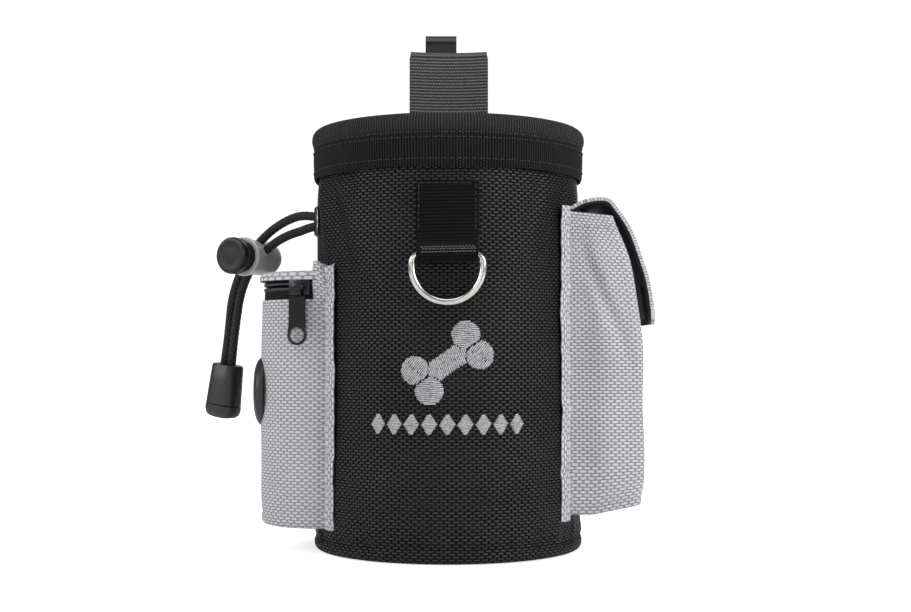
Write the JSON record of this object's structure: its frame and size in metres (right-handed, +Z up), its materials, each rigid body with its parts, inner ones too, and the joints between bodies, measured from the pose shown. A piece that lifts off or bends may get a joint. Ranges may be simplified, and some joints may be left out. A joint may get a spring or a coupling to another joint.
{
  "type": "treat pouch",
  "caption": "Round fabric treat pouch with hooped rim, drawcord, D-ring tab, zipped bag pocket with outlet, flap pocket, belt loop and clip.",
  "frame": {"origin": "centre of the base's underside", "axes": "+Z up towards the rim; -Y is the front with the D-ring and the motif; the belt loop is on +Y, the zipped pocket on -X and the flap pocket on +X"},
  "size_m": [0.152, 0.1133, 0.186],
  "materials": {
    "black_oxford": "coarse plain-weave polyester, faint sheen",
    "grey_oxford": "coarse plain-weave polyester, matt",
    "black_webbing": "ribbed woven webbing",
    "black_lining": "smooth thin nylon",
    "black_cord": "braided round cord",
    "grey_thread": "satin stitched thread",
    "hook_loop": "fuzzy hook and loop tape",
    "black_plastic": "moulded, fine grain",
    "grey_plastic": "moulded, milky",
    "zip_coil": "nylon coil",
    "board": "plain sheet",
    "nickel": "polished nickel plate",
    "spring_steel": "brushed",
    "dark_steel": "semi-gloss dark coating"
  },
  "bodies": {
    "pouch": {"outer_shell": "black_oxford", "base_panel": "black_oxford", "base_stiffener": "board", "lining": "black_lining", "drawstring_collar": "black_lining", "rim_hoop": "spring_steel", "rim_binding": "black_webbing", "drawcord": "black_cord", "cord_eyelet": "nickel", "eyelet_washer": "nickel", "ring_tab": "black_webbing", "back_strap": "black_webbing", "clip_base": "dark_steel", "clip_rivets": "spring_steel", "left_pocket": "grey_oxford", "left_seams": "grey_oxford", "pocket_lid": "grey_oxford", "zip_tape_lower": "black_webbing", "zip_tape_upper": "black_webbing", "zip_coil_lower": "zip_coil", "zip_coil_upper": "zip_coil", "zip_stops": "dark_steel", "bag_outlet": "black_plastic", "outlet_backing": "black_plastic", "right_pocket": "grey_oxford", "loop_patch": "hook_loop", "flap_root": "grey_oxford", "emblem": "grey_thread", "emblem_border": "grey_thread"},
    "ring": {"d_ring": "nickel"},
    "slider": {"zip_slider": "dark_steel"},
    "pull": {"zip_pull": "dark_steel"},
    "flap": {"flap_shell": "grey_oxford", "flap_lining": "black_lining", "hook_patch": "hook_loop"},
    "cord_lock": {"lock_barrel": "grey_plastic", "lock_spring": "spring_steel"},
    "cord_button": {"lock_button": "black_plastic"},
    "cord_tail": {"tail_cords": "black_cord", "cord_end_shell": "black_plastic", "cord_end_cap": "black_plastic"},
    "clip": {"clip_arm": "dark_steel"}
  },
  "joints": [
    {"name": "d_ring_swing", "type": "hinge", "parent": "pouch", "child": "ring", "pos_m": [0, -0.0472, 0.0954], "axis": [-1, 0, 0], "range_deg": [-4, 160]},
    {"name": "zip_travel", "type": "hinge", "parent": "pouch", "child": "slider", "pos_m": [-0.0417, 0, 0.0868], "axis": [0, 0, -1], "range_deg": [0, 145]},
    {"name": "zip_pull_swing", "type": "hinge", "parent": "slider", "child": "pull", "pos_m": [-0.04874, -0.02232, 0.0863], "axis": [-0.9537, 0.3007, 0], "range_deg": [0, 150]},
    {"name": "flap_open", "type": "hinge", "parent": "pouch", "child": "flap", "pos_m": [0.05289, 0, 0.11544], "axis": [0, -1, 0], "range_deg": [-1, 150]},
    {"name": "cord_lock_travel", "type": "hinge", "parent": "pouch", "child": "cord_lock", "pos_m": [-0.04496, -0.00632, 0.075], "axis": [-0.5, -0.866, 0], "range_deg": [-15, 22]},
    {"name": "lock_press", "type": "slide", "parent": "cord_lock", "child": "cord_button", "axis": [0.5, 0.866, 0], "range_m": [0, 0.0032], "stiffness_N_per_m": 900, "springref_m": -0.002},
    {"name": "cord_tail_swing", "type": "hinge", "parent": "pouch", "child": "cord_tail", "pos_m": [-0.07412, 0.01052, 0.07973], "axis": [-0.8576, 0.4951, 0.1392], "range_deg": [-25, 25]},
    {"name": "clip_flex", "type": "hinge", "parent": "pouch", "child": "clip", "pos_m": [-0.003, 0.0629, 0.18185], "axis": [1, 0, 0], "range_deg": [0, 12], "stiffness_Nm_per_rad": 1.2}
  ]
}
